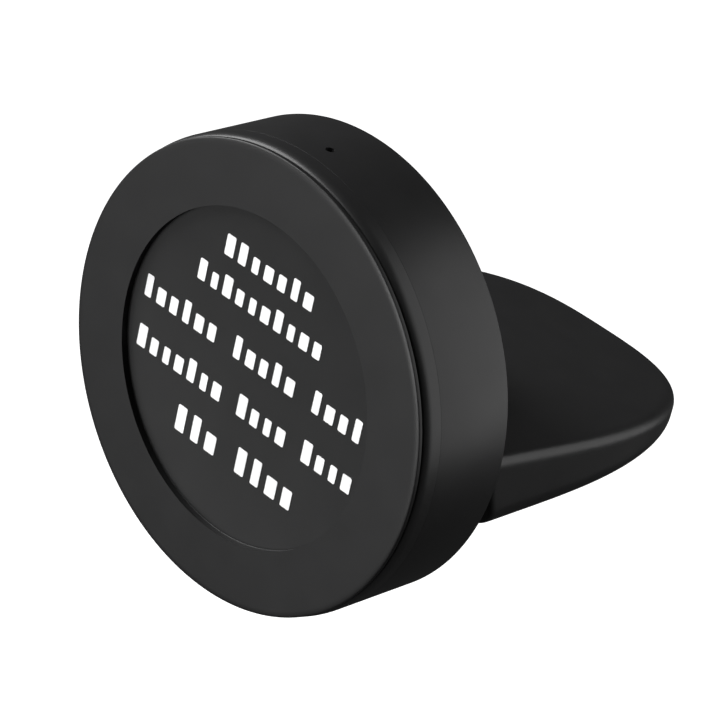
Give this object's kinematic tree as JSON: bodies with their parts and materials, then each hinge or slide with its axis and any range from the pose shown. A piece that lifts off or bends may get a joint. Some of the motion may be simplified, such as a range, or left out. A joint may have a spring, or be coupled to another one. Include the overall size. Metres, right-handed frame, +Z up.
{
  "type": "car phone mount",
  "caption": "Round magnetic charging head with a recessed face, on a clamped ball joint, carried by a rounded wedge that pushes into a vent or slot.",
  "frame": {"origin": "centre of the grip pad's underside, on the face that sits in the vent or slot", "axes": "+Z up, away from the surface the wedge rests on; -Y towards the phone, square to the head's face at rest; +X across the mount, to the right seen from the phone's side"},
  "size_m": [0.045, 0.0533, 0.045],
  "materials": {
    "face_plastic": "matt black, fine moulded grain",
    "housing_plastic": "satin black",
    "tail_plastic": "satin black",
    "collar_plastic": "satin black",
    "pad_rubber": "matt black rubber",
    "print_white": "white pad print",
    "inner_plastic": "natural white moulding",
    "inner_black": "black moulding",
    "clear_plastic": "clear acrylic",
    "seat_acetal": "natural acetal",
    "steel": "plated steel",
    "stud_steel": "polished, plated steel",
    "magnet_nickel": "nickel plate",
    "coil_copper": "enamelled copper wire",
    "ferrite": "dull dark grey ferrite",
    "board": "green solder mask"
  },
  "bodies": {
    "tail": {"tail_shell": "tail_plastic", "tail_cover": "tail_plastic", "grip_pad": "pad_rubber", "cover_screw_1": "steel", "cover_screw_2": "steel", "cover_screw_3": "steel", "ball_stud": "stud_steel"},
    "pan_seat": {"rear_seat": "seat_acetal"},
    "tilt_seat": {"front_seat": "seat_acetal"},
    "head": {"face_plate": "face_plastic", "front_bezel": "housing_plastic", "rear_housing": "housing_plastic", "charging_coil": "coil_copper", "ferrite_sheet": "ferrite", "magnet_carrier": "inner_plastic", "magnet_1": "magnet_nickel", "magnet_2": "magnet_nickel", "magnet_3": "magnet_nickel", "magnet_4": "magnet_nickel", "magnet_5": "magnet_nickel", "magnet_6": "magnet_nickel", "magnet_yoke": "steel", "circuit_board": "board", "usb_shell": "steel", "usb_tongue": "inner_black", "led_chip": "inner_plastic", "light_pipe": "clear_plastic", "housing_screw_1": "steel", "housing_screw_2": "steel", "housing_screw_3": "steel", "collar_nut": "collar_plastic"}
  },
  "joints": [
    {"name": "head_pan", "type": "hinge", "parent": "tail", "child": "pan_seat", "pos_m": [0, -0.0218, 0.01302], "axis": [0, 0, 1], "range_deg": [-8, 8]},
    {"name": "head_tilt", "type": "hinge", "parent": "pan_seat", "child": "tilt_seat", "pos_m": [0, -0.0218, 0.01302], "axis": [1, 0, 0], "range_deg": [-12, 12]},
    {"name": "head_spin", "type": "hinge", "parent": "tilt_seat", "child": "head", "pos_m": [0, -0.0218, 0.01302], "axis": [0, 1, 0], "continuous": true}
  ]
}
